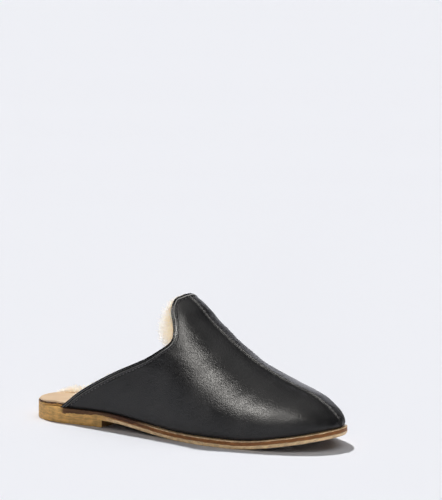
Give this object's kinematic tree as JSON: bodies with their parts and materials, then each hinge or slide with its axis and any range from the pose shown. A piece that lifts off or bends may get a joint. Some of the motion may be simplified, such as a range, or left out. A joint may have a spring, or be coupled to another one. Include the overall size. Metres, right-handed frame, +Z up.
{
  "type": "shearling mule",
  "caption": "Backless right leather slip-on with a high pointed instep tab, raised centre seam, fleece lining, flat leather sole and low heel.",
  "frame": {"origin": "on the floor under the middle of the heel, on the heel block's flat underside", "axes": "+X from heel to toe along the sole's centre line, +Y to the wearer's inner (medial) side, +Z up from the floor"},
  "size_m": [0.28, 0.0972, 0.1121],
  "materials": {
    "heel_leather": "satin, streaked natural edge",
    "sole_leather": "burnished brown edge",
    "insole_leather": "satin natural edge",
    "sock_leather": "soft matte cream",
    "black_leather": "smooth semi-gloss",
    "black_binding": "smooth semi-gloss",
    "fleece": "deep soft pile"
  },
  "bodies": {
    "root": {"heel_lift": "heel_leather", "outsole": "sole_leather", "insole": "insole_leather", "sock": "sock_leather", "upper": "black_leather", "topline_binding": "black_binding", "shearling_lining": "fleece"}
  },
  "joints": []
}
